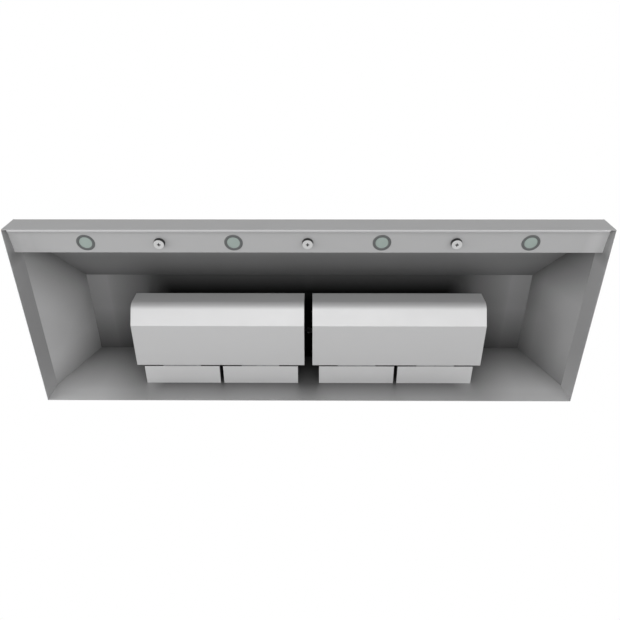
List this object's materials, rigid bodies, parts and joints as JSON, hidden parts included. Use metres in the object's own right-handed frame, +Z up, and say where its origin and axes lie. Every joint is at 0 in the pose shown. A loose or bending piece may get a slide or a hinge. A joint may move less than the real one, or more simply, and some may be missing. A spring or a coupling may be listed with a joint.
{
  "type": "wall mount range hood",
  "caption": "Wide wall-mounted range hood: sloped sheet-steel canopy with lamp rail, control knobs, covered twin blowers and round duct collars with backdraft flaps.",
  "frame": {"origin": "on the wall face, in the middle of the row of wall screws in the flange above the roof", "axes": "+X to the right as seen from the front, +Y into the wall, +Z up"},
  "size_m": [1.524, 0.5334, 0.3294],
  "materials": {
    "hood_steel": "satin sheet steel",
    "duct_steel": "plain zinc-coated sheet",
    "wheel_steel": "plain sheet",
    "shaft_steel": "ground",
    "plated_steel": "bright plated",
    "lamp_trim": "dark satin ring",
    "lamp_glass": "frosted",
    "spun_aluminium": "plain",
    "knob_metal": "satin turned",
    "control_case": "moulded",
    "motor_paint": "semi-gloss",
    "bushing_rubber": "matt"
  },
  "bodies": {
    "hood": {"back_panel": "hood_steel", "cable_bushing": "bushing_rubber", "control_left": "control_case", "control_middle": "control_case", "control_right": "control_case", "cover_nuts_left": "control_case", "cover_nuts_right": "control_case", "duct_collar_left": "duct_steel", "duct_collar_right": "duct_steel", "front_fascia": "hood_steel", "front_slope": "hood_steel", "lamp_can_1": "spun_aluminium", "lamp_can_2": "spun_aluminium", "lamp_can_3": "spun_aluminium", "lamp_can_4": "spun_aluminium", "lamp_lens_1": "lamp_glass", "lamp_lens_2": "lamp_glass", "lamp_lens_3": "lamp_glass", "lamp_lens_4": "lamp_glass", "lamp_rail": "hood_steel", "lamp_trim_1": "lamp_trim", "lamp_trim_2": "lamp_trim", "lamp_trim_3": "lamp_trim", "lamp_trim_4": "lamp_trim", "motor_cradle_left": "duct_steel", "motor_cradle_right": "duct_steel", "motor_left": "motor_paint", "motor_right": "motor_paint", "plenum_left": "duct_steel", "plenum_right": "duct_steel", "riser_inner_left": "hood_steel", "riser_inner_right": "hood_steel", "riser_outer_left": "hood_steel", "riser_outer_right": "hood_steel", "roof_plate": "hood_steel", "roof_screws": "plated_steel", "scroll_inner_left": "duct_steel", "scroll_inner_right": "duct_steel", "scroll_outer_left": "duct_steel", "scroll_outer_right": "duct_steel", "side_panel_left": "hood_steel", "side_panel_right": "hood_steel", "wiring_box": "duct_steel", "wiring_lid": "duct_steel"},
    "knob_left": {"knob_left": "knob_metal"},
    "knob_middle": {"knob_middle": "knob_metal"},
    "knob_right": {"knob_right": "knob_metal"},
    "rotor_left": {"motor_shaft_left": "shaft_steel", "blower_wheel_outer_left": "wheel_steel", "blower_wheel_inner_left": "wheel_steel"},
    "rotor_right": {"motor_shaft_right": "shaft_steel", "blower_wheel_outer_right": "wheel_steel", "blower_wheel_inner_right": "wheel_steel"},
    "cover_left": {"blower_cover_left": "hood_steel"},
    "cover_right": {"blower_cover_right": "hood_steel"},
    "flap_front_left": {"flap_front_left": "spun_aluminium"},
    "flap_rear_left": {"flap_rear_left": "spun_aluminium"},
    "flap_front_right": {"flap_front_right": "spun_aluminium"},
    "flap_rear_right": {"flap_rear_right": "spun_aluminium"}
  },
  "joints": [
    {"name": "rotor_left_spin", "type": "hinge", "parent": "hood", "child": "rotor_left", "pos_m": [-0.261, -0.155, -0.1442], "axis": [1, 0, 0], "continuous": true},
    {"name": "cover_left_lift_down", "type": "slide", "parent": "hood", "child": "cover_left", "axis": [0, 0, -1], "range_m": [0, 0.3]},
    {"name": "flap_front_left_swing", "type": "hinge", "parent": "hood", "child": "flap_front_left", "pos_m": [-0.261, -0.1046, -0.009], "axis": [-1, 0, 0], "range_deg": [0, 75]},
    {"name": "flap_rear_left_swing", "type": "hinge", "parent": "hood", "child": "flap_rear_left", "pos_m": [-0.261, -0.1046, -0.009], "axis": [1, 0, 0], "range_deg": [0, 75]},
    {"name": "rotor_right_spin", "type": "hinge", "parent": "hood", "child": "rotor_right", "pos_m": [0.261, -0.155, -0.1442], "axis": [1, 0, 0], "continuous": true},
    {"name": "cover_right_lift_down", "type": "slide", "parent": "hood", "child": "cover_right", "axis": [0, 0, -1], "range_m": [0, 0.3]},
    {"name": "flap_front_right_swing", "type": "hinge", "parent": "hood", "child": "flap_front_right", "pos_m": [0.261, -0.1046, -0.009], "axis": [-1, 0, 0], "range_deg": [0, 75]},
    {"name": "flap_rear_right_swing", "type": "hinge", "parent": "hood", "child": "flap_rear_right", "pos_m": [0.261, -0.1046, -0.009], "axis": [1, 0, 0], "range_deg": [0, 75]},
    {"name": "knob_left_turn", "type": "hinge", "parent": "hood", "child": "knob_left", "pos_m": [-0.37948, -0.4861, -0.27439], "axis": [0, -0.1816, 0.9834], "range_deg": [0, 270]},
    {"name": "knob_middle_turn", "type": "hinge", "parent": "hood", "child": "knob_middle", "pos_m": [0, -0.4861, -0.27439], "axis": [0, -0.1816, 0.9834], "range_deg": [0, 270]},
    {"name": "knob_right_turn", "type": "hinge", "parent": "hood", "child": "knob_right", "pos_m": [0.37948, -0.4861, -0.27439], "axis": [0, -0.1816, 0.9834], "range_deg": [0, 270]}
  ]
}
